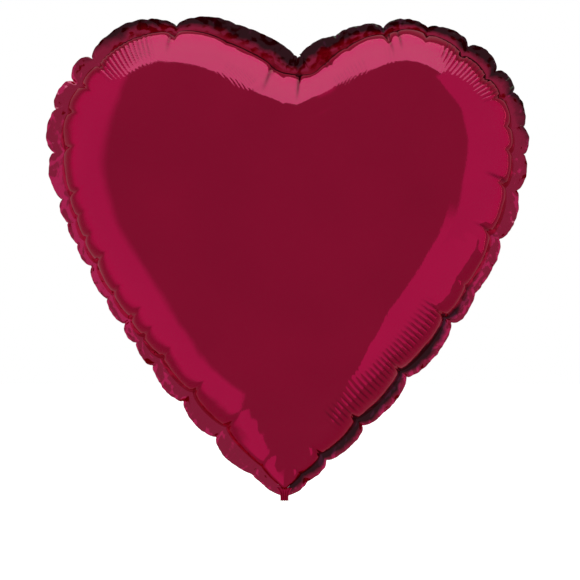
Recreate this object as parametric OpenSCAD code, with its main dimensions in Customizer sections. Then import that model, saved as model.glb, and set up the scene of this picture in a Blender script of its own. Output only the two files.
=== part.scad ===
// Heart-shaped foil balloon, filled and closed, with its filling tail folded up behind it.
// +Z is up, the front faces -Y, and the origin is the middle of the tail's fold at the bottom point.
// Two sheets of metallised film are welded together round a heart. The gas bulges them into two domes,
// and the welded rim is left as a puckered flange. The sheets run on at the bottom point as a flat tail
// that holds the filling valve: a flat sleeve of two thin clear films, which the gas presses shut.
// Film is far too thin for a solid, so each film here is a thicker stand-in of the true outline.

/* [Heart] */
// Half the width of the blown-up heart, to the weld
half_w = 187; // [170:1:195]
// Height of the weld at the bottom point
tip_z = 10; // [9:0.5:12]
// Height at which the heart is widest
wide_z = 297; // [280:1:310]
// Height of the top of a lobe, to the weld
lobe_top_z = 386; // [375:1:395]
// Distance of a lobe's highest point from the middle
lobe_x = 87; // [80:1:95]
// Angle of the side at the bottom point, from the vertical
tip_angle = 48; // [42:1:52]
// How far the side keeps that direction
tip_pull = 128; // [110:1:140]
// How far the side stays upright below its widest place
side_pull = 107; // [90:1:120]

/* [Domes] */
// Height of each dome above the rim
dome_h = 84; // [60:1:90]
// Height of the domes' crown above the fold
crown_z = 225; // [200:1:250]
// Thickness that stands for the balloon film
film_t = 0.6; // [0.5:0.1:1]

/* [Rim] */
// Width of the flange where a pucker pinches it
flange_min = 8.5; // [7:0.5:10]
// How much wider it is in the middle of a scallop
scallop_h = 5; // [3:0.5:7]
// Scallops on each side of the heart
scallops = 13; // [10:1:16]
// Thickness that stands for the two welded films
flange_t = 0.8; // [0.8:0.1:1]

/* [Tail] */
// Length of the tail from the fold to its mouth
tail_l = 75; // [60:1:90]
// Half the width of the flat tail
tail_half_w = 14; // [12:0.5:16]
// Half the width of the gathered film at the fold
gather_half_w = 3.3; // [3:0.1:4]
// Lean of the folded tail away from the vertical
tail_lean = 34; // [33:1:40]
// Thickness that stands for one film of the tail
tail_film_t = 0.4; // [0.3:0.05:0.5]
// Distance of the ribbon hole from the fold
hole_s = 67; // [65:0.5:68]
// Radius of the ribbon hole
hole_r = 2.5; // [2:0.1:3]
// Lowest point of the parts that stay with the heart
throat_z = 3.1; // [3.1:0.1:3.5]

/* [Valve] */
// Half the width of the flat valve sleeve
valve_half_w = 11; // [9:0.5:11]
// Width of the weld along each side of the valve
valve_weld_w = 2; // [1.5:0.1:2.5]
// Thickness that stands for one valve film
valve_film_t = 0.25; // [0.2:0.05:0.3]
// Gap that stands between the two valve films, closed by their side welds
valve_gap = 0.2; // [0.1:0.05:0.2]
// Height of the valve's inner end inside the heart
valve_top_z = 88; // [70:1:100]
// Height at which the valve starts to widen, just inside the heart
valve_flare_z = 12; // [12:0.5:14]
// Distance from the fold at which the valve's inlet starts in the tail
inlet_s = 58; // [50:1:60]

/* [Hidden] */

foil_front = [0.55, 0.06, 0.19];
foil_rear = [0.50, 0.05, 0.17];
foil_rim = [0.36, 0.05, 0.13];
clear_film = [0.86, 0.88, 0.90];

side_steps = 26;
lobe_steps = 22;
dome_rings = 12;
rim_steps = 9;
flare_steps = 14;
lobe_rx = half_w - lobe_x;
lobe_rz = lobe_top_z - wide_z;
lobe_end = acos(-lobe_x / lobe_rx);
notch_z = wide_z + lobe_rz * sin(lobe_end);
crown = [0, crown_z];

// Reach of the bottom point's and the notch's own dome shapes along the outline
tip_reach = 150;
notch_reach = 100;

// Half thickness of the closed valve, of the tail, and of the gathered film above the fold
valve_half_t = valve_gap / 2 + valve_film_t;
tail_half_t = valve_half_t + tail_film_t;
throat_half_t = tail_half_t + 0.1;
throat_wall = 0.6;
flare_start = 3;
flare_l = 22;
neck_gap_h = 7;
rim_backing = 1.5;
clearance = 0.3;
eps = 0.01;

function smooth(t) = let (c = max(0, min(1, t))) c * c * (3 - 2 * c);
function unit2(v) = v / norm(v);
function right_of(v) = [v[1], -v[0]];

// The right side is one cubic curve, and its lobe an arc of an ellipse
side_pull_points = [
    [0, tip_z],
    [tip_pull * sin(tip_angle), tip_z + tip_pull * cos(tip_angle)],
    [half_w, wide_z - side_pull],
    [half_w, wide_z]
];
function side_point(t) = let (p = side_pull_points)
    pow(1 - t, 3) * p[0] + 3 * pow(1 - t, 2) * t * p[1]
    + 3 * (1 - t) * t * t * p[2] + pow(t, 3) * p[3];
function lobe_point(a) = [lobe_x + lobe_rx * cos(a), wide_z + lobe_rz * sin(a)];
// Place on the right half of the weld: 0 at the bottom point, 1 at the widest, 2 in the notch
function weld_point(u) = u < 1 ? side_point(u) : lobe_point((u - 1) * lobe_end);
function weld_normal(u) = let (a = max(0, u - 0.002), b = min(2, u + 0.002))
    unit2(right_of(weld_point(b) - weld_point(a)));

weld_places = concat([for (i = [0 : side_steps - 1]) i / side_steps],
                     [for (i = [0 : lobe_steps]) 1 + i / lobe_steps]);
function right_half(inset) = [for (u = weld_places) weld_point(u) - inset * weld_normal(u)];

// The whole outline, from the bottom point up the right side and down the left
function on_axis(p) = [0, p[1]];
function both_halves(half) = let (n = len(half))
    concat([for (p = half) p], [for (i = [n - 2 : -1 : 1]) [-half[i][0], half[i][1]]]);
function heart_outline(inset) = let (h = right_half(inset), n = len(h)) both_halves(
    [for (i = [0 : n - 1])
        (i == 0) ? on_axis(h[i] + [0, inset]) : (i == n - 1) ? on_axis(h[i] - [0, inset]) : h[i]]);

// Height of a dome, as a share of its crown, at share t of the way to the rim.
// A blown film rises steeply from the weld, less so in the narrow point and in the notch.
function near(p, q, reach) = smooth(1 - norm(p - q) / reach);
function dome_share(t, p) = let (
        tip = near(p, [0, tip_z], tip_reach),
        notch = near(p, [0, notch_z], notch_reach))
    pow(max(0, 1 - pow(t, 3 - 1.5 * tip - 0.8 * notch)), 0.55 + 0.25 * tip + 0.1 * notch);
// Rings stand closer together towards the rim, where the dome is steep
function ring_share(j) = 1 - pow(1 - j / dome_rings, 1.8);

// One closed shell: an outer skin, an inner skin, and the narrow edge that joins them at the rim
module dome_shell() {
    outer = heart_outline(0);
    inner = heart_outline(film_t);
    n = len(outer);
    rings = [for (j = [1 : dome_rings]) ring_share(j)];
    skin = function (outline, height) [
        for (t = rings, i = [0 : n - 1])
            let (p = crown + t * (outline[i] - crown))
            [p[0], -flange_t / 2 - height * dome_share(t, outer[i]), p[1]]
    ];
    points = concat(skin(outer, dome_h), skin(inner, dome_h - film_t),
                    [[0, -flange_t / 2 - dome_h, crown_z],
                     [0, -flange_t / 2 - dome_h + film_t, crown_z]]);
    size = dome_rings * n;
    outer_crown = 2 * size;
    inner_crown = outer_crown + 1;
    last = (dome_rings - 1) * n;
    faces = concat(
        [for (i = [0 : n - 1]) let (k = (i + 1) % n) [outer_crown, k, i]],
        [for (i = [0 : n - 1]) let (k = (i + 1) % n) [inner_crown, size + i, size + k]],
        [for (j = [0 : dome_rings - 2], i = [0 : n - 1]) let (k = (i + 1) % n, a = j * n)
            each [[a + i, a + k, a + n + k], [a + i, a + n + k, a + n + i]]],
        [for (j = [0 : dome_rings - 2], i = [0 : n - 1]) let (k = (i + 1) % n, a = size + j * n)
            each [[a + i, a + n + k, a + k], [a + i, a + n + i, a + n + k]]],
        [for (i = [0 : n - 1]) let (k = (i + 1) % n, a = last, b = size + last)
            each [[a + i, a + k, b + k], [a + i, b + k, b + i]]]
    );
    polyhedron(points, faces, convexity = 4);
}

module front_panel() {
    color(foil_front) dome_shell();
}

module rear_panel() {
    color(foil_rear) mirror([0, 1, 0]) dome_shell();
}

// Stands a flat shape, drawn as X and height, up in the plane between two depths
module upright(y_front, y_rear) {
    translate([0, y_rear, 0]) rotate([90, 0, 0]) linear_extrude(y_rear - y_front) children();
}

// The flange's free edge runs out in scallops between the puckers
function flange_w(u) = flange_min + scallop_h * abs(sin(90 * scallops * u));
rim_places = [for (i = [0 : scallops * rim_steps]) 2 * i / (scallops * rim_steps)];
rim_edge = [for (u = rim_places) let (p = weld_point(u) + flange_w(u) * weld_normal(u))
    if (p[0] > eps) p];
notch_cut = on_axis(rim_edge[len(rim_edge) - 1] - [0, 2]);

module rim_seam() {
    inner = heart_outline(rim_backing);
    left_edge = [for (i = [len(rim_edge) - 1 : -1 : 0]) [-rim_edge[i][0], rim_edge[i][1]]];
    slot_w = 2 * (gather_half_w + clearance);
    color(foil_rim) upright(-flange_t / 2, flange_t / 2) difference() {
        polygon(concat(rim_edge, [notch_cut], left_edge));
        polygon(inner);
        translate([-slot_w / 2, 0]) square([slot_w, tip_z + neck_gap_h]);
    }
}

// The gathered films between the heart and the fold, round the valve's own films
module neck_throat() {
    color(foil_rim) difference() {
        upright(-throat_half_t, throat_half_t) translate([-gather_half_w, throat_z])
            square([2 * gather_half_w, tip_z - throat_z - eps]);
        upright(-valve_half_t - eps, valve_half_t + eps)
            translate([-gather_half_w + throat_wall, 0])
            square([2 * (gather_half_w - throat_wall), tip_z]);
    }
}

// A strip of film from s0 to s1, gathered narrow as far as `start`, then flaring to its full width
module flared_strip(s0, s1, start, narrow, wide) {
    places = concat([s0], [for (i = [0 : flare_steps]) start + flare_l * i / flare_steps], [s1]);
    right = [for (s = places) [narrow + (wide - narrow) * smooth((s - start) / flare_l), s]];
    left = [for (i = [len(right) - 1 : -1 : 0]) [-right[i][0], right[i][1]]];
    polygon(concat(right, left));
}
valve_gather_w = gather_half_w - throat_wall - 0.1;
module valve_outline(s0, s1, start) {
    flared_strip(s0, s1, start, valve_gather_w, valve_half_w);
}
// The welds along both edges of a strip, where it has its full width
module side_strips(s0, s1, wide, weld_w) {
    for (side = [-1, 1]) translate([side * (wide - weld_w / 2) - weld_w / 2, s0])
        square([weld_w, s1 - s0]);
}

// Inner half of the valve, loose inside the heart: two films welded along their sides
module inner_valve_outline() {
    valve_outline(throat_z, valve_top_z, valve_flare_z);
}
module valve_front_film() {
    color(clear_film) upright(-valve_half_t, -valve_gap / 2) inner_valve_outline();
}
module valve_rear_film() {
    color(clear_film) upright(valve_gap / 2, valve_half_t) inner_valve_outline();
}
module valve_side_welds() {
    color(clear_film) upright(-valve_gap / 2, valve_gap / 2)
        side_strips(valve_flare_z + flare_l, valve_top_z, valve_half_w, valve_weld_w);
}

// Puts what is drawn upright into the tail's plane, which leans back behind the heart
module in_tail() {
    rotate([-tail_lean, 0, 0]) children();
}
module tail_outline() {
    difference() {
        flared_strip(0, tail_l, flare_start, gather_half_w, tail_half_w);
        translate([0, hole_s]) circle(r = hole_r, $fn = 48);
    }
}

// A quarter of the roll that the tail's films make at the fold, on one side of the valve
module fold_roll(side) {
    roll_l = 2 * gather_half_w;
    intersection() {
        rotate([0, 90, 0]) difference() {
            cylinder(r = tail_half_t, h = roll_l, center = true, $fn = 32);
            cylinder(r = valve_half_t, h = roll_l + 1, center = true, $fn = 32);
        }
        translate([0, side * tail_half_t, -tail_half_t])
            cube([roll_l, 2 * tail_half_t, 2 * tail_half_t], center = true);
    }
}

module tail_front_film() {
    color(foil_rear) in_tail() {
        upright(-tail_half_t, -valve_half_t) tail_outline();
        fold_roll(-1);
    }
}
module tail_rear_film() {
    color(foil_front) in_tail() {
        upright(valve_half_t, tail_half_t) tail_outline();
        fold_roll(1);
    }
}
module tail_side_welds() {
    color(foil_rim) in_tail() upright(-valve_half_t, valve_half_t)
        side_strips(flare_start + flare_l, tail_l, tail_half_w, tail_half_w - valve_half_w);
}
// Outer half of the valve, held between the tail's films
module inlet_outline() {
    valve_outline(0, inlet_s, flare_start);
}
module inlet_front_film() {
    color(clear_film) in_tail() upright(-valve_half_t, -valve_gap / 2) inlet_outline();
}
module inlet_rear_film() {
    color(clear_film) in_tail() upright(valve_gap / 2, valve_half_t) inlet_outline();
}

front_panel();
rear_panel();
rim_seam();
neck_throat();
valve_front_film();
valve_rear_film();
valve_side_welds();
tail_front_film();
tail_rear_film();
tail_side_welds();
inlet_front_film();
inlet_rear_film();
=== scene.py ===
import math

import bmesh
import bpy
import numpy as np
from mathutils import Matrix, Vector, kdtree, noise


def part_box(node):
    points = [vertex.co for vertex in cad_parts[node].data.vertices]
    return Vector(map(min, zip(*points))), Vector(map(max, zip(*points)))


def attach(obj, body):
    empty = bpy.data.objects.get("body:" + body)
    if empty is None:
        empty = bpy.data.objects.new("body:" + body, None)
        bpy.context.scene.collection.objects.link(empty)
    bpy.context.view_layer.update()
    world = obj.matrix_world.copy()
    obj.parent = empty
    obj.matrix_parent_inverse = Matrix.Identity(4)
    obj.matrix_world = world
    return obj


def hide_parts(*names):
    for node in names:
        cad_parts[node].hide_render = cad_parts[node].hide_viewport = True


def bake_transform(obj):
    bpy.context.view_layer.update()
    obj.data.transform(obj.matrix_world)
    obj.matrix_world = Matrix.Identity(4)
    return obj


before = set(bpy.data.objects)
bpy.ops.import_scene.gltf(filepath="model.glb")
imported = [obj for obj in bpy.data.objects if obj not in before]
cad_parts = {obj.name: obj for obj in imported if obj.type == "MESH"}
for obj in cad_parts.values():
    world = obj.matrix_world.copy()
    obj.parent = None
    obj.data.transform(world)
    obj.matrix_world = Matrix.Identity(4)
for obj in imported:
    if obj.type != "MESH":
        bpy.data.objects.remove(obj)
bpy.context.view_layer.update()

# ---------------------------------------------------------------------------------------------
# The weld. Two sheets of metallised film are cut to one heart and heat-welded round it. Blown up,
# the weld has to shorten, so it gathers into scallops with a sharp pucker between each two.
sheet_low, sheet_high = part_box("front_panel")
half_w, tip_z, lobe_top = sheet_high.x, sheet_low.z, sheet_high.z
dome_h = -sheet_low.y

# Each half of the heart's outline: a curved side up to its widest height, then a lobe that is part of
# an ellipse, eased into the notch. HALF is the number of steps along one half
wide_z = 0.297
lobe_x = 0.087
lobe_rx, lobe_rz = half_w - lobe_x, lobe_top - wide_z
tip_angle = math.radians(48)
tip_pull, side_pull = 0.128, 0.107
notch_z = 0.3535
lobe_dip = 0.0012
HALF = 648


def weld_curve(steps):
    """The right half of the weld from the bottom point to the notch, in equal steps of (x, z)."""
    t = np.linspace(0, 1, 1500)[:, None]
    a, b = np.array([0, tip_z]), np.array([half_w, wide_z])
    pull_a = a + tip_pull * np.array([math.sin(tip_angle), math.cos(tip_angle)])
    pull_b = b - np.array([0, side_pull])
    side = (1 - t) ** 3 * a + 3 * (1 - t) ** 2 * t * pull_a + 3 * (1 - t) * t * t * pull_b + t**3 * b
    turn = t[1:] * math.acos(-lobe_x / lobe_rx)
    lobe = np.hstack([lobe_x + lobe_rx * np.cos(turn), wide_z + lobe_rz * np.sin(turn)])
    lobe[:, 1] -= lobe_dip * np.exp(-(((lobe[:, 0] - 0.036) / 0.022) ** 2))
    saddle = notch_z + 8 * lobe[:, 0] ** 2
    gap = lobe[:, 1] - saddle
    eased = saddle + (gap + np.sqrt(gap**2 + 0.002**2)) / 2
    lobe[:, 1] = np.where(lobe[:, 0] < 0.05, eased, lobe[:, 1])
    fine = np.vstack([side, lobe])
    run = np.append(0, np.cumsum(np.linalg.norm(np.diff(fine, axis=0), axis=1)))
    places = np.linspace(0, run[-1], steps + 1)
    return np.stack([np.interp(places, run, fine[:, k]) for k in (0, 1)], 1), run[-1]


half_weld, half_len = weld_curve(HALF)
fine_weld, _ = weld_curve(HALF * 5)

# Puckers up each side, from the bottom point to the notch: distance along the weld in millimetres,
# and how hard it pinches from 0 to 1
PUCKERS = {
    1: [(0, 0.5), (18, 0.3), (40, 0.7), (81, 0.9), (135, 1.0), (193, 1.0), (224, 0.4), (272, 0.9),
        (314, 0.8), (343, 0.6), (364, 0.5), (391, 0.6), (411, 0.8), (439, 0.9), (473, 0.7),
        (509, 1.0), (548, 0.3), (590, 0.4)],
    -1: [(0, 0.5), (27, 0.3), (72, 0.8), (112, 0.9), (151, 0.6), (174, 0.6), (192, 0.9), (217, 0.5),
         (247, 0.9), (268, 0.5), (287, 0.4), (306, 0.9), (345, 0.8), (377, 0.7), (402, 0.9),
         (424, 0.9), (496, 1.0), (540, 0.3), (590, 0.4)],
}

# In metres: how deep the hardest pucker cuts in, how far it waves in Y, how far the gas presses the
# weld outwards, and how far the bottom point leans left and the notch right
pucker_deep = 0.0058
weld_sway = 0.0034
slack = 0.0016
tip_lean = 0.0026
notch_lean = 0.0085


def ease(t):
    """A smooth step from 0 to 1."""
    t = np.clip(t, 0, 1)
    return t * t * (3 - 2 * t)


def bump_at(x, middle, width):
    """A smooth hump of height 1."""
    return np.exp(-(((x - middle) / width) ** 2))


def scallops(side, share):
    """For places on one half of the weld: how deep the pucker cuts in metres, 0 to 1 across it from
    crest to pucker, distance to the nearest pucker, its strength, and how far it waves in Y."""
    at = np.array([p[0] / 1000 for p in PUCKERS[side]]) / half_len
    at[-1] = 1
    pinch = np.array([p[1] for p in PUCKERS[side]])
    i = np.clip(np.searchsorted(at, share, side="right") - 1, 0, len(at) - 2)
    gap = (at[i + 1] - at[i]) * half_len
    q = np.clip((share - at[i]) * half_len / gap, 0, 1)
    room = np.minimum(np.append(1, np.diff(at)), np.append(np.diff(at), 1)) * half_len
    deep = np.minimum(pucker_deep * pinch, 0.22 * room)
    depth = deep[i] * (1 - q) + deep[i + 1] * q
    valley = 1 - np.sqrt(np.clip(4 * q * (1 - q), 0, 1))
    near_left = q < 0.5
    reach = np.where(near_left, q, 1 - q) * gap
    strength = np.where(near_left, pinch[i], pinch[i + 1])
    turns = [noise.noise((k * 3.1, side * 7.7, 0.3)) for k in range(len(at))]
    sway = np.array([(-1) ** k * (0.4 + 0.6 * turn) for k, turn in enumerate(turns)])
    sway = sway * pinch * weld_sway
    sway[0] = sway[-1] = 0
    t = ease(q)
    wave = sway[i] * (1 - t) + sway[i + 1] * t
    return depth, valley, reach, strength, wave


def pull_aside(x, z):
    """Sideways lean of the film in metres: no balloon is welded quite true to its middle line."""
    low = -tip_lean * ease(1 - z / 0.07)
    notch = notch_lean * bump_at(z, 0.345, 0.05) * bump_at(x, 0, 0.05)
    return low + notch


def pull_up(x, z):
    """How far the film is drawn up over the tops of the lobes, in metres."""
    tops = 0.0045 * bump_at(x, -0.100, 0.055) + 0.0052 * bump_at(x, 0.110, 0.033)
    return tops * ease((z - 0.28) / 0.08)


def weld_line(side, share):
    """Where the weld really runs at places on one half of it: points, and outward directions."""
    places = share * HALF
    x = np.interp(places, np.arange(HALF + 1), half_weld[:, 0])
    z = np.interp(places, np.arange(HALF + 1), half_weld[:, 1])
    step = np.gradient(half_weld, axis=0)
    nx = np.interp(places, np.arange(HALF + 1), step[:, 1])
    nz = np.interp(places, np.arange(HALF + 1), -step[:, 0])
    n = np.hypot(nx, nz)
    nx, nz = nx / n, nz / n
    ends = ease(share * HALF / 6) * ease((1 - share) * HALF / 6)
    nx = nx * ends
    nz = np.where(share < 0.5, -1, 1) * (1 - ends) + nz * ends
    depth, valley, _, _, wave = scallops(side, share)
    back = depth * valley - slack
    px = side * (x - nx * back)
    pz = z - nz * back
    points = np.stack([px + pull_aside(px, pz), wave, pz + pull_up(px, pz)], 1)
    return points, np.stack([side * nx, 0 * nx, nz], 1)


# ---------------------------------------------------------------------------------------------
# Front and rear sheets. Each is one sheet of metallised nylon film, cut flat as a heart and blown
# tight by the gas, smooth in the middle and puckered all round where the weld holds it short.
foil_red = (0.5, 0.008, 0.058)
edge_on_tint = (1.0, 0.44, 0.5, 1)

# The rings of points between the weld and the crown, as shares of the way out: close together by the
# weld, then wider. At two of them each three points become one
CROWN = Vector((0, 0, 0.225))
RING_SHARES = [1 - 0.35 * (k / 30) ** 1.5 for k in range(31)]
RING_SHARES += [*np.linspace(0.65, 0.3, 13)[1:], *np.linspace(0.3, 0.06, 9)[1:]]
COARSER_AT = (31, 43)


def from_crown(v):
    """The direction of a point as seen from the crown."""
    return math.atan2(v.co.x, v.co.z - CROWN.z)


def heart_blank():
    """The flat heart: the weld loop drawn in towards the crown ring by ring."""
    bm = bmesh.new()
    right = [bm.verts.new((x, 0, z)) for x, z in half_weld]
    left = [bm.verts.new((-x, 0, z)) for x, z in half_weld[-2:0:-1]]
    loop = right + left
    edges = [bm.edges.new((a, b)) for a, b in zip(loop, loop[1:] + loop[:1])]
    for k in range(1, len(RING_SHARES)):
        ring = bmesh.ops.extrude_edge_only(bm, edges=edges)["geom"]
        verts = [g for g in ring if isinstance(g, bmesh.types.BMVert)]
        edges = [g for g in ring if isinstance(g, bmesh.types.BMEdge)]
        factor = RING_SHARES[k] / RING_SHARES[k - 1]
        bmesh.ops.scale(bm, vec=(factor,) * 3, space=Matrix.Translation(-CROWN), verts=verts)
        if k in COARSER_AT:
            verts.sort(key=from_crown)
            kept = verts[1::3]
            onto = dict(zip(verts[0::3], kept))
            onto.update(zip(verts[2::3], kept))
            bmesh.ops.weld_verts(bm, targetmap=onto)
            verts = kept
            inner = set(kept)
            edges = [e for e in bm.edges if e.is_boundary and inner.issuperset(e.verts)]
    bmesh.ops.pointmerge(bm, verts=verts, merge_co=CROWN)
    bmesh.ops.recalc_face_normals(bm, faces=bm.faces)
    return bm


def blown_height(bm):
    """How far the gas lifts each point, from 0 at the weld to 1 at the highest: a stretched skin's
    bulge, solved on the mesh."""
    bm.verts.index_update()
    co = np.array([v.co for v in bm.verts])
    tris = np.array([[loop.vert.index for loop in t] for t in bm.calc_loop_triangles()])
    free = np.array([not v.is_boundary for v in bm.verts])
    ends_i, ends_j, pull = [], [], []
    area = np.zeros(len(co))
    for k in range(3):
        a, b, c = tris[:, k], tris[:, (k + 1) % 3], tris[:, (k + 2) % 3]
        u, v = co[b] - co[a], co[c] - co[a]
        cross = np.linalg.norm(np.cross(u, v), axis=1)
        ends_i.append(b)
        ends_j.append(c)
        pull.append(np.clip((u * v).sum(1) / np.maximum(cross, 1e-12) / 2, 0.02, 40))
        area += np.bincount(a, cross / 6, len(co))
    i, j, w = np.concatenate(ends_i), np.concatenate(ends_j), np.concatenate(pull)
    n = len(co)
    total = np.bincount(i, w, n) + np.bincount(j, w, n)

    def stiff(x):
        y = total * x - np.bincount(i, w * x[j], n) - np.bincount(j, w * x[i], n)
        return np.where(free, y, 0)

    x = np.zeros(n)
    r = np.where(free, area, 0)
    z = r / total
    p = z.copy()
    rz = r @ z
    start = rz
    for _ in range(1500):
        q = stiff(p)
        step = rz / (p @ q)
        x += step * p
        r -= step * q
        z = r / total
        new = r @ z
        if new < start * 1e-10:
            break
        p = z + new / rz * p
        rz = new
    return x / x.max()


def nearest_weld(co):
    """For each point of the flat heart: side, share along that half, distance in, and how clearly
    it belongs to that side, 0 to 1."""
    found = []
    for side in (1, -1):
        tree = kdtree.KDTree(len(fine_weld))
        for k, (x, z) in enumerate(fine_weld):
            tree.insert((side * x, 0, z), k)
        tree.balance()
        hits = [tree.find(p) for p in co]
        share = np.array([h[1] for h in hits]) / (len(fine_weld) - 1)
        found.append((share, np.array([h[2] for h in hits])))
    (share_r, d_r), (share_l, d_l) = found
    right = (d_r < d_l) | ((d_r == d_l) & (co[:, 0] > 0))
    share = np.where(right, share_r, share_l)
    d = np.where(right, d_r, d_l)
    clear = ease(np.abs(d_r - d_l) / 0.014)
    return right, share, d, clear


# Long creases that run across the film, beside the puckers: from and to in metres, depth, width
LONG_CREASES = [
    ((0.0, 0.352), (0.0, 0.324), 0.0014, 0.0016),
    ((-0.017, 0.362), (-0.026, 0.330), 0.0012, 0.0014),
    ((-0.014, 0.360), (-0.020, 0.345), 0.0008, 0.0012),
    ((0.020, 0.362), (0.026, 0.350), 0.0008, 0.0010),
    ((0.024, 0.362), (0.030, 0.352), 0.0007, 0.0010),
    ((-0.093, 0.390), (-0.096, 0.358), 0.0020, 0.0018),
    ((-0.120, 0.385), (-0.120, 0.370), 0.0008, 0.0012),
    ((0.078, 0.388), (0.083, 0.358), 0.0012, 0.0014),
    ((0.088, 0.388), (0.090, 0.360), 0.0012, 0.0014),
    ((0.172, 0.219), (0.146, 0.229), 0.0007, 0.0012),
    ((0.178, 0.262), (0.156, 0.268), 0.0010, 0.0016),
]

# Where the film stands a little proud: x, z, height and radius in metres
SWELLS = [
    (-0.142, 0.367, 0.0028, 0.020),
    (-0.105, 0.380, 0.0028, 0.022),
    (0.095, 0.345, 0.0025, 0.025),
    (0.047, 0.330, 0.0042, 0.030),
    (-0.030, 0.318, 0.0030, 0.025),
]

# Stretches of short, even wrinkles that stand square to the weld: side, from and to along the weld
# in millimetres, height, where they start and end inwards, and their pitch, in millimetres
COMBS = [
    (-1, 416, 480, 0.42, 3, 36, 4.3),
    (1, 386, 462, 0.42, 3, 32, 4.3),
    (1, 62, 200, 0.42, 8, 36, 4.4),
    (-1, 545, 588, 0.22, 20, 42, 4.8),
    (1, 535, 586, 0.22, 20, 42, 4.8),
    (1, 498, 520, 0.20, 16, 40, 4.0),
]

# Points this near the weld count as on it, the room left under the CAD dome for the puckers, both in
# metres, and the steepest slope of the film
AT_WELD = 0.0002
CREST_GAP = 0.003
STEEPEST = 5.0


def dome(co, d, height):
    """How far the gas lifts each point, in metres: rounded, thinner towards the bottom point, so that
    the tail stands clear, and never steeper than the film can stand at the weld."""
    thin = 1 - 0.66 * (1 - ease((co[:, 2] - 0.005) / 0.105))
    rise = (dome_h - CREST_GAP) * thin * (1 - (1 - height) ** 1.5) ** 0.55
    for x, z, tall, wide in SWELLS:
        rise += tall * ease(d / 0.01) * np.exp(-((co[:, 0] - x) ** 2 + (co[:, 2] - z) ** 2) / wide**2)
    steep = 0.0004 + STEEPEST * d
    lifted = 0.5 * (rise + steep - np.sqrt((rise - steep) ** 2 + 0.0015**2))
    return np.where(d < AT_WELD, 0, lifted)


def comb_waves(right, share, d):
    """The wrinkles of the combs, as a height in metres."""
    comb = np.zeros(len(d))
    for side, first, last, tall, start, end, pitch in COMBS:
        on = right if side == 1 else ~right
        run = share * half_len * 1000
        window = ease((run - first) / 8) * ease((last - run) / 8) * on
        phase = run / pitch * 2 * math.pi + 1.3 * np.sin(run / 23) + 0.8 * np.sin(run / 11)
        depth_in = ease((d * 1000 - start) / 6) * ease((end - d * 1000) / 12)
        comb += window * tall / 1000 * np.sin(phase) * depth_in
    return comb


def crease(co, d, start, end, deep, wide):
    """One long crease: how deep it is at each point in metres, and how much painted shade its fold
    gets, 0 to 1.
    """
    ax = np.array(end) - np.array(start)
    rel = co[:, [0, 2]] - np.array(start)
    t = (rel @ ax) / (ax @ ax)
    off = np.abs(rel[:, 0] * ax[1] - rel[:, 1] * ax[0]) / np.linalg.norm(ax)
    run = ease((t + 0.1) / 0.2) * ease((1.1 - t) / 0.6)
    groove = deep * run * np.exp(-off / (wide * (1 + 0.8 * np.clip(t, 0, 1)))) * ease(d / 0.006)
    return groove, run * np.exp(-((off / 0.0011) ** 2)) * min(1, deep / 0.0010)


def blow_up(bm, height, out):
    """Lifts the flat heart to its blown shape. out is -1 for the front sheet and 1 for the rear."""
    co = np.array([v.co for v in bm.verts])
    right, share, d, clear = nearest_weld(co)
    co[:, 1] = out * dome(co, d, height)
    for v, p in zip(bm.verts, co):
        v.co = p
    bm.normal_update()
    normal = np.array([v.normal for v in bm.verts])
    if (normal[:, 1] * out).sum() < 0:
        bmesh.ops.reverse_faces(bm, faces=bm.faces)
        normal = -normal

    weld_at = np.zeros_like(co)
    outward = np.zeros_like(co)
    depth, valley, reach, strength, wave = (np.zeros(len(co)) for _ in range(5))
    for side in (1, -1):
        on = right if side == 1 else ~right
        weld_at[on], outward[on] = weld_line(side, share[on])
        depth[on], valley[on], reach[on], strength[on], wave[on] = scallops(side, share[on])

    push = outward * (1 - ease(d / 0.005))[:, None] + normal * ease(d / 0.005)[:, None]
    push /= np.linalg.norm(push, axis=1)[:, None] + 1e-9
    broad = depth * valley * np.exp(-((d / 0.011) ** 1.4))
    sharp_w = 0.0010 + 0.06 * d
    fade = np.exp(-((d / (0.007 + 0.009 * strength)) ** 2))
    sharp = 0.0022 * strength * np.exp(-reach / sharp_w) * ease(d / 0.004) * fade
    comb = comb_waves(right, share, d)
    # Painted shade: darkens the film's colour in the comb troughs, at the pucker pinches and, below,
    # along the long creases
    painted_crease_shade = 0.9 * np.clip(-comb * 2400, 0, 1) ** 2
    painted_crease_shade += strength * np.exp(-reach / 0.0008) * np.exp(-((d / 0.009) ** 2))
    inward = clear * (broad + sharp)
    inward = np.where(d < AT_WELD, depth * valley, inward) - slack * np.exp(-d / 0.012)
    co -= push * inward[:, None]
    co += normal * (comb * clear)[:, None]

    for start, end, deep, wide in LONG_CREASES:
        groove, fold_shade = crease(co, d, start, end, deep, wide)
        co -= normal * groove[:, None]
        painted_crease_shade += fold_shade

    crumple = np.array([noise.noise((p[0] * 45, p[2] * 45, out * 5)) for p in co])
    fine = np.array([noise.noise((p[0] * 130, p[2] * 130, out * 9)) for p in co])
    edge = ease(d / 0.006) * np.exp(-((d / 0.030) ** 2))
    co += normal * (edge * (0.0008 * crumple + 0.0002 * fine))[:, None]
    co[:, 1] += wave * clear * np.exp(-d / 0.018) * (d > AT_WELD)
    aside, up = pull_aside(co[:, 0], co[:, 2]), pull_up(co[:, 0], co[:, 2])
    co[:, 0] += aside
    co[:, 2] += up

    edge_on = np.array([v.is_boundary for v in bm.verts])
    too_low = ~edge_on & (out * (co[:, 1] - weld_at[:, 1]) < 0.0001 + 0.4 * d)
    least = weld_at[:, 1] + out * (0.0001 + 0.4 * np.minimum(d, 0.004))
    co[too_low, 1] = least[too_low]
    co[edge_on] = weld_at[edge_on]
    # Stores the painted crease shade for the film material
    layer = bm.verts.layers.float.new("painted_crease_shade")
    for v, p, w in zip(bm.verts, co, np.clip(painted_crease_shade, 0, 1)):
        v.co = p
        v[layer] = w


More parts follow.
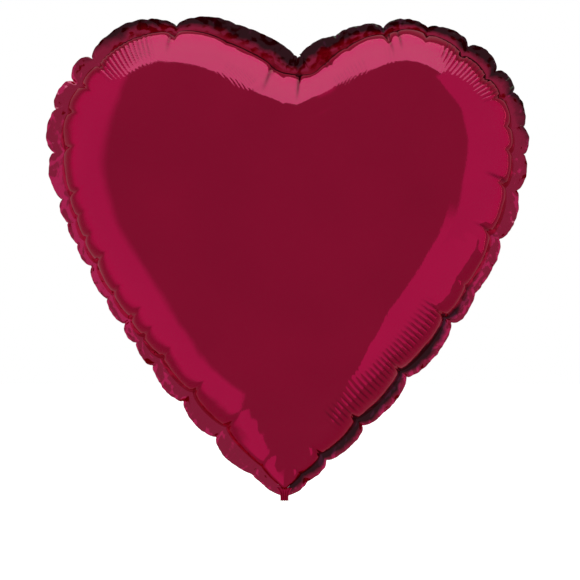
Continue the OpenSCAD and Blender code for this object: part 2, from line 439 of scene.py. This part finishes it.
def piece(bm, name, body, material):
    """Turns a finished bmesh into an object, smooth but for its free edges. It rides on a body if one
    is given, and takes a material slot."""
    mesh = bpy.data.meshes.new(name)
    for face in bm.faces:
        face.smooth = True
    for edge in bm.edges:
        edge.smooth = not edge.is_boundary
    bm.to_mesh(mesh)
    bm.free()
    obj = bpy.data.objects.new(name, mesh)
    bpy.context.scene.collection.objects.link(obj)
    mesh.materials.append(material)
    if body:
        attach(obj, body)
    return obj


def shader(name):
    """A new material with its node tree, its Principled shader, and a helper that adds nodes."""
    material = bpy.data.materials.new(name)
    material.use_nodes = True
    tree = material.node_tree
    surface = tree.nodes["Principled BSDF"]

    def add(kind, **values):
        node = tree.nodes.new(kind)
        for key, value in values.items():
            if hasattr(node, key):
                setattr(node, key, value)
            else:
                node.inputs[key.replace("_", " ").title()].default_value = value
        return node

    return material, tree, surface, add


def film_material(name, red, roughness, grain):
    """Metallised film: a mirror under a thin clear coat, with the film's faint grain. Its colour is
    darkened by painted shade in creases, comb troughs and pucker pinches."""
    material, tree, surface, add = shader(name)
    surface.inputs["Metallic"].default_value = 1.0
    surface.inputs["Specular Tint"].default_value = edge_on_tint
    surface.inputs["Coat Weight"].default_value = 0.1
    surface.inputs["Coat Roughness"].default_value = 0.06
    surface.inputs["Coat IOR"].default_value = 1.5
    where = add("ShaderNodeTexCoord")
    cloud = add("ShaderNodeTexNoise", scale=16.0, detail=4.0)
    tree.links.new(where.outputs["Object"], cloud.inputs["Vector"])
    tint = add("ShaderNodeValToRGB")
    tint.color_ramp.elements[0].position = 0.3
    tint.color_ramp.elements[0].color = (*[c * 0.93 for c in red], 1)
    tint.color_ramp.elements[1].position = 0.7
    tint.color_ramp.elements[1].color = (*red, 1)
    tree.links.new(cloud.outputs["Fac"], tint.inputs["Fac"])
    # Painted shade: the colour darkens to 0.3 of the red where the attribute marks creases, comb
    # troughs and pucker pinches
    painted_crease_shade = add("ShaderNodeAttribute", attribute_name="painted_crease_shade")
    fold_shade = add("ShaderNodeMix", data_type="RGBA", blend_type="MIX")
    tree.links.new(painted_crease_shade.outputs["Fac"], fold_shade.inputs[0])
    tree.links.new(tint.outputs["Color"], fold_shade.inputs[6])
    fold_shade.inputs[7].default_value = (*[c * 0.3 for c in red], 1)
    tree.links.new(fold_shade.outputs[2], surface.inputs["Base Color"])
    haze = add("ShaderNodeMapRange", from_min=0.3, from_max=0.7)
    haze.inputs["To Min"].default_value = roughness * 0.8
    haze.inputs["To Max"].default_value = roughness * 1.25
    tree.links.new(cloud.outputs["Fac"], haze.inputs["Value"])
    tree.links.new(haze.outputs["Result"], surface.inputs["Roughness"])
    fine = add("ShaderNodeTexNoise", scale=420.0, detail=2.0)
    tree.links.new(where.outputs["Object"], fine.inputs["Vector"])
    relief = add("ShaderNodeBump", strength=grain, distance=0.0004)
    tree.links.new(fine.outputs["Fac"], relief.inputs["Height"])
    tree.links.new(relief.outputs["Normal"], surface.inputs["Normal"])
    return material


def film_wall(obj, thickness, offset):
    """Gives a sheet of film its thickness: offset -1 puts it inside, 0 to both sides."""
    wall = obj.modifiers.new("film", "SOLIDIFY")
    wall.thickness = thickness
    wall.offset = offset


blank = heart_blank()
lift = blown_height(blank)
sheet_foil = film_material("crimson_foil", foil_red, 0.05, 0.06)
for name, out, slot, node in (
    ("front_sheet", -1, "front_foil", "front_panel"),
    ("rear_sheet", 1, "rear_foil", "rear_panel"),
):
    blown = blank.copy()
    blow_up(blown, lift, out)
    sheet = piece(blown, name, "heart", sheet_foil)
    film_wall(sheet, 0.0001, -1)
    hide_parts(node)
blank.free()

# ---------------------------------------------------------------------------------------------
# The rim. Outside the weld both films run on together as a loose margin. The heat has crumpled it,
# and the puckers fold it into scallops.
RIM_STEPS = 9  # rings across the margin
TUCK = -0.08  # how far its first ring reaches in under the sheets, as a share of its width
RIGHT_SHARES = np.arange(0, HALF + 1) / HALF
LEFT_SHARES = np.arange(HALF - 1, 0, -1) / HALF

# How wide the margin is in millimetres, and how far it leans forward at its free edge for each
# millimetre of width, up each side: (share of the half weld, value)
MARGIN = {
    1: [(0, 8), (0.03, 8), (0.08, 9), (0.14, 9), (0.22, 9), (0.32, 9.5), (0.42, 8.5),
        (0.5, 11), (0.57, 11.5), (0.66, 12.5), (0.75, 13), (0.82, 12), (0.88, 9.5),
        (0.92, 12), (0.96, 15), (1.0, 15.5)],
    -1: [(0, 8), (0.03, 9), (0.09, 15), (0.16, 13), (0.22, 12), (0.28, 8), (0.34, 7),
         (0.43, 6), (0.49, 8), (0.55, 12), (0.6, 12.5), (0.7, 13), (0.77, 16.5),
         (0.84, 13), (0.9, 16.5), (0.95, 16), (1.0, 15.5)],
}
LEAN = {
    1: [(0, 0.1), (0.1, -0.1), (0.2, -0.15), (0.35, -0.2), (0.5, -0.1), (0.6, 0.1), (0.7, 0.3),
        (0.8, 0.45), (0.92, 0.5), (1.0, 0.3)],
    -1: [(0, 0.1), (0.1, -0.2), (0.2, -0.25), (0.35, -0.4), (0.5, -0.45), (0.6, -0.2), (0.7, 0.1),
         (0.8, 0.45), (0.92, 0.5), (1.0, 0.3)],
}


def along(table, side, share):
    """A value read off a list of (share, value) for one side."""
    return np.interp(share, [p[0] for p in table[side]], [p[1] for p in table[side]])


def margin_rows():
    """Rings of points round the balloon, RIM_STEPS + 1 of them. The first is tucked under the sheets,
    and the rest go from the weld to the free edge."""
    rings = [[] for _ in range(RIM_STEPS + 1)]
    for side, share in ((1, RIGHT_SHARES), (-1, LEFT_SHARES)):
        at, outward = weld_line(side, share)
        _, valley, reach, strength, _ = scallops(side, share)
        width = along(MARGIN, side, share) / 1000 - pull_up(at[:, 0], at[:, 2]) * outward[:, 2]
        lean = along(LEAN, side, share)
        for k in range(RIM_STEPS + 1):
            r = TUCK if k == 0 else (k - 1) / (RIM_STEPS - 1)
            for i in range(len(share)):
                run = share[i] * half_len
                w = width[i] * (1 - 0.22 * valley[i] * strength[i])
                w += 0.0007 * r * noise.noise((run * 260, side * 3.3, 1.7))
                ridge = 1 - 2 * abs(noise.noise((run * 115, r * 1.3 + side * 9, 0.5)))
                small = noise.noise((run * 330, r * 3.1 + side * 5, 4.5))
                flat = noise.noise((run * 45, r * 0.8, side * 2.5))
                fold = strength[i] * math.exp(-reach[i] / 0.0022)
                fold *= 1 if noise.noise((run * 20, 3, side)) > 0 else -1
                crumple = 0.0020 * ridge + 0.0013 * small + 0.0024 * flat
                y = -lean[i] * w * 0.8 * r + max(r, 0) ** 0.7 * crumple + 0.0028 * fold * r
                rings[k].append(at[i] + outward[i] * (w * r) + np.array([0, y, 0]))
    return rings


# How much painted shade darkens the margin's colour up each side, standing in for dark reflections and
# the shadow along the weld: (share of the half weld, 0 to 1)
MARGIN_SHADE = {
    1: [(0, 0.4), (0.06, 0.6), (0.15, 0.55), (0.3, 0.45), (0.42, 0.15), (0.55, 0.2), (0.62, 0.5),
        (0.7, 0.9), (0.85, 0.95), (1.0, 0.9)],
    -1: [(0, 0.2), (0.1, 0.0), (0.3, 0.1), (0.5, 0.1), (0.62, 0.1), (0.7, 0.25), (0.77, 0.7),
         (0.83, 0.6), (0.88, 0.95), (1.0, 0.95)],
}


def rim_ribbon():
    """The margin as a ribbon, extruded outwards from the weld ring by ring."""
    rings = margin_rows()
    bm = bmesh.new()
    painted_shade = bm.verts.layers.float.new("painted_shade")
    # Painted shade for the margin: painted dark reflections, and a painted weld shadow down the lower
    # right
    painted_dark = np.append(along(MARGIN_SHADE, 1, RIGHT_SHARES), along(MARGIN_SHADE, -1, LEFT_SHARES))
    ring = [bm.verts.new(p) for p in rings[0]]
    low_right = np.arange(len(ring)) < HALF * 0.46
    for v, b in zip(ring, painted_dark):
        v[painted_shade] = 0.5 * min(1, b * 1.6) * (1 if v.co.z < 0.2 else 0.2)
    edges = [bm.edges.new((a, b)) for a, b in zip(ring, ring[1:] + ring[:1])]
    for k, points in enumerate(rings[1:]):
        # Painted shade: down the lower right a painted weld shadow, darkest at the weld itself;
        # elsewhere painted dark reflections, growing towards the free edge
        fade = np.where(low_right, 2.2 - 2.2 * k / RIM_STEPS, 1.7 * k / RIM_STEPS + 0.1)
        grown = bmesh.ops.extrude_edge_only(bm, edges=edges)["geom"]
        edges = [g for g in grown if isinstance(g, bmesh.types.BMEdge)]
        new = {g for g in grown if isinstance(g, bmesh.types.BMVert)}
        ring = [next(e.other_vert(v) for e in v.link_edges if e.other_vert(v) in new) for v in ring]
        for v, p, b in zip(ring, points, np.clip(painted_dark * fade, 0, 1)):
            v.co = p
            v[painted_shade] = 0.5 * b
    bmesh.ops.recalc_face_normals(bm, faces=bm.faces)
    return bm


def weld_foil_material():
    """The welded margin: the same film, crazed with tiny facets by the heat, its colour darkened in
    noisy patches by painted shade standing in for dark reflections and the weld's shadow.
    """
    material, tree, surface, add = shader("crumpled_foil")
    surface.inputs["Metallic"].default_value = 1.0
    surface.inputs["Coat Weight"].default_value = 0.2
    surface.inputs["Coat Roughness"].default_value = 0.15
    surface.inputs["Specular Tint"].default_value = edge_on_tint
    where = add("ShaderNodeTexCoord")
    patch = add("ShaderNodeTexNoise", scale=80.0, detail=6.0)
    tree.links.new(where.outputs["Object"], patch.inputs["Vector"])
    # Painted shade: the attribute, broken up by noise patches, darkens the margin's colour towards
    # near black
    shade_in = add("ShaderNodeAttribute", attribute_name="painted_shade")
    mixed = add("ShaderNodeMath", operation="MULTIPLY_ADD")
    tree.links.new(patch.outputs["Fac"], mixed.inputs[0])
    mixed.inputs[1].default_value = 0.55
    tree.links.new(shade_in.outputs["Fac"], mixed.inputs[2])
    tint = add("ShaderNodeValToRGB")
    tint.color_ramp.elements[0].position = 0.42
    tint.color_ramp.elements[0].color = (0.5, 0.02, 0.08, 1)
    tint.color_ramp.elements[1].position = 0.66
    tint.color_ramp.elements[1].color = (0.055, 0.011, 0.018, 1)
    tree.links.new(mixed.outputs[0], tint.inputs["Fac"])
    tree.links.new(tint.outputs["Color"], surface.inputs["Base Color"])
    surface.inputs["Roughness"].default_value = 0.15
    facets = add("ShaderNodeTexVoronoi", scale=240.0, randomness=1.0)
    tree.links.new(where.outputs["Object"], facets.inputs["Vector"])
    relief = add("ShaderNodeBump", strength=0.4, distance=0.001)
    tree.links.new(facets.outputs["Distance"], relief.inputs["Height"])
    tree.links.new(relief.outputs["Normal"], surface.inputs["Normal"])
    return material


margin = piece(rim_ribbon(), "rim_margin", "heart", weld_foil_material())
film_wall(margin, 0.0002, 0)
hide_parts("rim_seam")

# ---------------------------------------------------------------------------------------------
# Neck and tail. Each sheet runs on below the bottom point as a flat tab, the two tabs welded
# together down both sides. They are gathered at the neck, folded, and the tail turned up behind.
NECK_HALF_W, TAIL_HALF_W = 0.0033, 0.014
NECK_TOP, TAIL_END = -0.0105, 0.075  # along the tail from its fold, negative in the neck
FLARE_FROM, FLARE_L = 0.003, 0.022
TAIL_LEAN = math.radians(34)
HOLE_AT, HOLE_R = 0.067, 0.0025
ROW_STEP = 0.0007


def tail_path(s):
    """Middle of the folded tail at distance s from the fold, negative in the neck: (y, z) and the
    direction that faces away from the heart."""
    bend = 0.0014
    if s <= -bend:
        return (0.0, -s), (-1.0, 0.0)
    up = (math.sin(TAIL_LEAN), math.cos(TAIL_LEAN))
    if s >= bend:
        return (s * up[0], s * up[1]), (up[1], -up[0])
    t = (s + bend) / (2 * bend)
    y = t * t * bend * up[0]
    z = (1 - t) ** 2 * bend + t * t * bend * up[1]
    turn = math.pi + t * (math.pi - TAIL_LEAN)
    return (y, z), (math.cos(turn), math.sin(turn))


def flare(s, narrow, wide):
    """Half width of a strip at distance s from the fold: gathered at the neck, then flaring out."""
    return narrow + (wide - narrow) * float(ease((abs(s) - FLARE_FROM) / FLARE_L))


def film_strip(s_from, s_to, narrow, wide, hole, lift_of):
    """A strip of film laid along the folded tail. lift_of gives how far it stands off the middle."""
    neck_lean = float(pull_aside(0, 0.0))
    bm = bmesh.new()
    rows = round((s_to - s_from) / ROW_STEP)
    bmesh.ops.create_grid(bm, x_segments=40, y_segments=rows, size=0.5)
    for v in bm.verts:
        s = s_from + (v.co.y + 0.5) * (s_to - s_from)
        v.co = (v.co.x * 2 * flare(s, narrow, wide), s, 0)
    if hole:
        inside = [v for v in bm.verts if math.hypot(v.co.x, v.co.y - HOLE_AT) < HOLE_R + 0.0002]
        bmesh.ops.delete(bm, geom=inside, context="VERTS")
        for v in bm.verts:
            dx, ds = v.co.x, v.co.y - HOLE_AT
            r = math.hypot(dx, ds)
            if v.is_boundary and r < HOLE_R + 0.0015:
                v.co = (dx / r * HOLE_R, HOLE_AT + ds / r * HOLE_R, 0)
    for v in bm.verts:
        x, s = v.co.x, v.co.y
        (y, z), (fy, fz) = tail_path(s)
        lift_off = lift_of(x, s, flare(s, narrow, wide))
        lean = neck_lean * (1 if s > -0.012 else float(ease(1 + (s + 0.012) / 0.04)))
        v.co = (x + lean, y + fy * lift_off, z + fz * lift_off)
    bmesh.ops.recalc_face_normals(bm, faces=bm.faces)
    return bm


def tail_sway(x, s):
    """The loose waves and the curl of the whole tail, with every film in it."""
    open_out = float(ease((s - FLARE_FROM) / FLARE_L))
    ripple = 0.0005 * noise.noise((x * 160, s * 38, 3.3)) + 0.0010 * noise.noise((x * 50, s * 26, 8.1))
    curl = -0.0020 * (x / TAIL_HALF_W) ** 2 + 0.0016 * float(ease((s - 0.05) / 0.025))
    return ripple * open_out * min(1, max(0, s - FLARE_FROM) / 0.03) + curl * open_out


def tail_film(layer):
    """One film of the neck and tail. layer 1 is the front sheet's tab, outermost when folded up,
    and -1 the rear sheet's."""

    def lift_of(x, s, wide):
        open_out = float(ease((s - FLARE_FROM) / FLARE_L))
        flat = 0.00006 + 0.00062 * float(ease((wide - abs(x)) / 0.0024))
        apart = flat * open_out + 0.00085 * (1 - open_out)
        pleat = math.cos(x / wide * math.pi * 4.5) * (0.0003 * (1 - open_out) + 0.00006)
        return layer * (apart + pleat) + tail_sway(x, s)

    return film_strip(NECK_TOP, TAIL_END, NECK_HALF_W, TAIL_HALF_W, True, lift_of)


tail_foil = film_material("creased_foil", foil_red, 0.09, 0.25)
for name, layer, nodes in (
    ("tail_outer_film", 1, ("tail_rear_film", "neck_throat", "tail_side_welds")),
    ("tail_inner_film", -1, ("tail_front_film",)),
):
    tab = piece(tail_film(layer), name, None, tail_foil)
    film_wall(tab, 0.0001, 0)
    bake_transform(tab)
    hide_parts(*nodes)

# ---------------------------------------------------------------------------------------------
# The valve. Two clear polyethylene films, welded down both sides, run from inside the tail through
# the neck into the heart. The gas presses them shut.
VALVE_TOP, VALVE_INLET = -0.088, 0.058
VALVE_NECK_HALF_W, VALVE_HALF_W = 0.0026, 0.011


def clear_film_material():
    """Soft polyethylene: clear, slightly milky, and faintly rippled."""
    material, tree, surface, add = shader("clear_film")
    surface.inputs["Base Color"].default_value = (0.86, 0.88, 0.90, 1)
    surface.inputs["Transmission Weight"].default_value = 0.7
    surface.inputs["IOR"].default_value = 1.5
    where = add("ShaderNodeTexCoord")
    cloud = add("ShaderNodeTexNoise", scale=90.0, detail=4.0)
    tree.links.new(where.outputs["Object"], cloud.inputs["Vector"])
    haze = add("ShaderNodeMapRange", to_min=0.12, to_max=0.3)
    tree.links.new(cloud.outputs["Fac"], haze.inputs["Value"])
    tree.links.new(haze.outputs["Result"], surface.inputs["Roughness"])
    relief = add("ShaderNodeBump", strength=0.2, distance=0.0003)
    tree.links.new(cloud.outputs["Fac"], relief.inputs["Height"])
    tree.links.new(relief.outputs["Normal"], surface.inputs["Normal"])
    return material


def valve_film(layer):
    """One film of the valve, from inside the heart through the neck to its inlet in the tail."""

    def lift_of(x, s, wide):
        flat = 0.00004 + 0.00016 * float(ease((wide - abs(x)) / 0.002))
        loose = 0.0008 * noise.noise((x * 90, s * 30, 5.5)) * float(ease((-s - 0.02) / 0.02))
        return layer * flat + loose + (tail_sway(x, s) if s > 0 else 0)

    return film_strip(VALVE_TOP, VALVE_INLET, VALVE_NECK_HALF_W, VALVE_HALF_W, False, lift_of)


clear_film = clear_film_material()
for name, layer, nodes in (
    ("valve_outer_film", 1, ("valve_front_film", "inlet_rear_film", "valve_side_welds")),
    ("valve_inner_film", -1, ("valve_rear_film", "inlet_front_film")),
):
    flap = piece(valve_film(layer), name, None, clear_film)
    film_wall(flap, 0.00006, 0)
    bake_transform(flap)
    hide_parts(*nodes)

# ---------------------------------------------------------------------------------------------
# The studio. A pale floor well below the balloon, glowing cards overhead and down both sides for
# the foil to mirror, and a white room all round.
FLOOR_Z = -0.32
rosy_white = (1.0, 0.75, 1.15)


def card(name, size, at, face, colour, strength, soft=(0.0, 0.0)):
    """A light card of a size, at a place and facing another. soft is the share of its width and of
    its length over which its glow fades towards the edges."""
    material, tree, surface, add = shader(name)
    tree.nodes.remove(surface)
    glow = add("ShaderNodeEmission")
    glow.inputs["Color"].default_value = (*colour, 1)
    glow.inputs["Strength"].default_value = strength
    out = tree.nodes["Material Output"]
    if max(soft) > 0:
        where = add("ShaderNodeTexCoord")
        split = add("ShaderNodeSeparateXYZ")
        tree.links.new(where.outputs["Object"], split.inputs[0])
        fades = []
        for axis, length, share in (("X", size[0], soft[0]), ("Y", size[1], soft[1])):
            size_of = add("ShaderNodeMath", operation="ABSOLUTE")
            tree.links.new(split.outputs[axis], size_of.inputs[0])
            fade = add("ShaderNodeMapRange", interpolation_type="SMOOTHSTEP")
            fade.inputs["From Min"].default_value = length / 2
            fade.inputs["From Max"].default_value = length / 2 * (1 - share) - 0.001
            fade.inputs["To Min"].default_value = 0
            fade.inputs["To Max"].default_value = 1
            tree.links.new(size_of.outputs[0], fade.inputs["Value"])
            fades.append(fade)
        both = add("ShaderNodeMath", operation="MULTIPLY")
        tree.links.new(fades[0].outputs[0], both.inputs[0])
        tree.links.new(fades[1].outputs[0], both.inputs[1])
        clear_bit = add("ShaderNodeBsdfTransparent")
        mix = add("ShaderNodeMixShader")
        tree.links.new(both.outputs[0], mix.inputs["Fac"])
        tree.links.new(clear_bit.outputs[0], mix.inputs[1])
        tree.links.new(glow.outputs[0], mix.inputs[2])
        tree.links.new(mix.outputs[0], out.inputs["Surface"])
    else:
        tree.links.new(glow.outputs[0], out.inputs["Surface"])
    bm = bmesh.new()
    bmesh.ops.create_grid(bm, x_segments=1, y_segments=1, size=0.5)
    bmesh.ops.transform(bm, matrix=Matrix.Diagonal((*size, 1, 1)), verts=bm.verts)
    plane = piece(bm, name, None, material)
    turn = (Vector(face) - Vector(at)).to_track_quat("Z", "Y").to_matrix().to_4x4()
    plane.matrix_world = Matrix.Translation(at) @ turn
    plane.visible_camera = False
    plane.visible_shadow = False


card("overhead_light", (1.94, 1.25), (0.145, 0.1, 1.4), (0.145, 0.1, 0), (0.42, 1.6, 0.87), 2.6)
card("left_light", (2.6, 6.4), (-1.5, -0.15, -0.4), (0, -0.15, -0.4), rosy_white, 0.72, (0.5, 0.1))
card("right_light", (2.0, 2.1), (1.5, -0.15, 0.75), (0, -0.15, 0.75), rosy_white, 0.70, (0.12, 0.0))
card("low_right_light", (1.8, 2.3), (1.5, -0.6, -1.15), (0, -0.6, -1.15), rosy_white, 0.74, (0.0, 0.2))
card("right_strip", (0.06, 2.0), (1.5, 0.88, 0.7), (0, 0.88, 0.7), (1.0, 1.4, 1.2), 1.1)


def pale_floor_material():
    """Matt white, lit a little from within so that it stays as pale as the room."""
    material, tree, surface, add = shader("pale_floor")
    surface.inputs["Base Color"].default_value = (0.9, 0.9, 0.9, 1)
    surface.inputs["Roughness"].default_value = 0.8
    surface.inputs["Emission Color"].default_value = (1, 1, 1, 1)
    surface.inputs["Emission Strength"].default_value = 0.9
    return material


floor_grid = bmesh.new()
bmesh.ops.create_grid(floor_grid, x_segments=8, y_segments=8, size=6)
bmesh.ops.translate(floor_grid, vec=(0, 0, FLOOR_Z), verts=floor_grid.verts)
floor = piece(floor_grid, "floor", None, pale_floor_material())
floor.visible_glossy = False

# The room is white to look at. What the foil mirrors of it is an even grey, duller and rosy behind.
world = bpy.data.worlds.new("white_room")
bpy.context.scene.world = world
world.use_nodes = True
room = world.node_tree
seen = room.nodes["Background"]
seen.inputs["Color"].default_value = (1, 1, 1, 1)
mirrored = room.nodes.new("ShaderNodeBackground")
way = room.nodes.new("ShaderNodeTexCoord")
way_parts = room.nodes.new("ShaderNodeSeparateXYZ")
room.links.new(way.outputs["Generated"], way_parts.inputs[0])
front_to_back = room.nodes.new("ShaderNodeMapRange")
front_to_back.inputs["From Min"].default_value = -1
front_to_back.inputs["From Max"].default_value = 1
room.links.new(way_parts.outputs["Y"], front_to_back.inputs["Value"])
tone = room.nodes.new("ShaderNodeValToRGB")
tone.color_ramp.elements[0].color = (0.42, 0.42, 0.42, 1)
tone.color_ramp.elements[1].color = (0.34, 0.14, 0.20, 1)
for place, level in ((0.55, 0.42), (0.70, 0.40), (0.78, 0.38), (0.88, 0.38)):
    tone.color_ramp.elements.new(place).color = (level, level, level, 1)
room.links.new(front_to_back.outputs["Result"], tone.inputs["Fac"])
room.links.new(tone.outputs["Color"], mirrored.inputs["Color"])
ray = room.nodes.new("ShaderNodeLightPath")
either = room.nodes.new("ShaderNodeMixShader")
room.links.new(ray.outputs["Is Camera Ray"], either.inputs["Fac"])
room.links.new(mirrored.outputs[0], either.inputs[1])
room.links.new(seen.outputs[0], either.inputs[2])
room.links.new(either.outputs[0], room.nodes["World Output"].inputs["Surface"])

# The camera looks level along +Y, at a little below the middle of the heart
camera = bpy.data.objects.new("camera", bpy.data.cameras.new("camera"))
bpy.context.scene.collection.objects.link(camera)
bpy.context.scene.camera = camera
camera.data.lens = 85
camera.data.sensor_width = 36
camera.location = (0.002, -1.136, 0.1746)
camera.rotation_euler = (math.radians(90), 0, 0)
bpy.context.scene.view_settings.view_transform = "Standard"
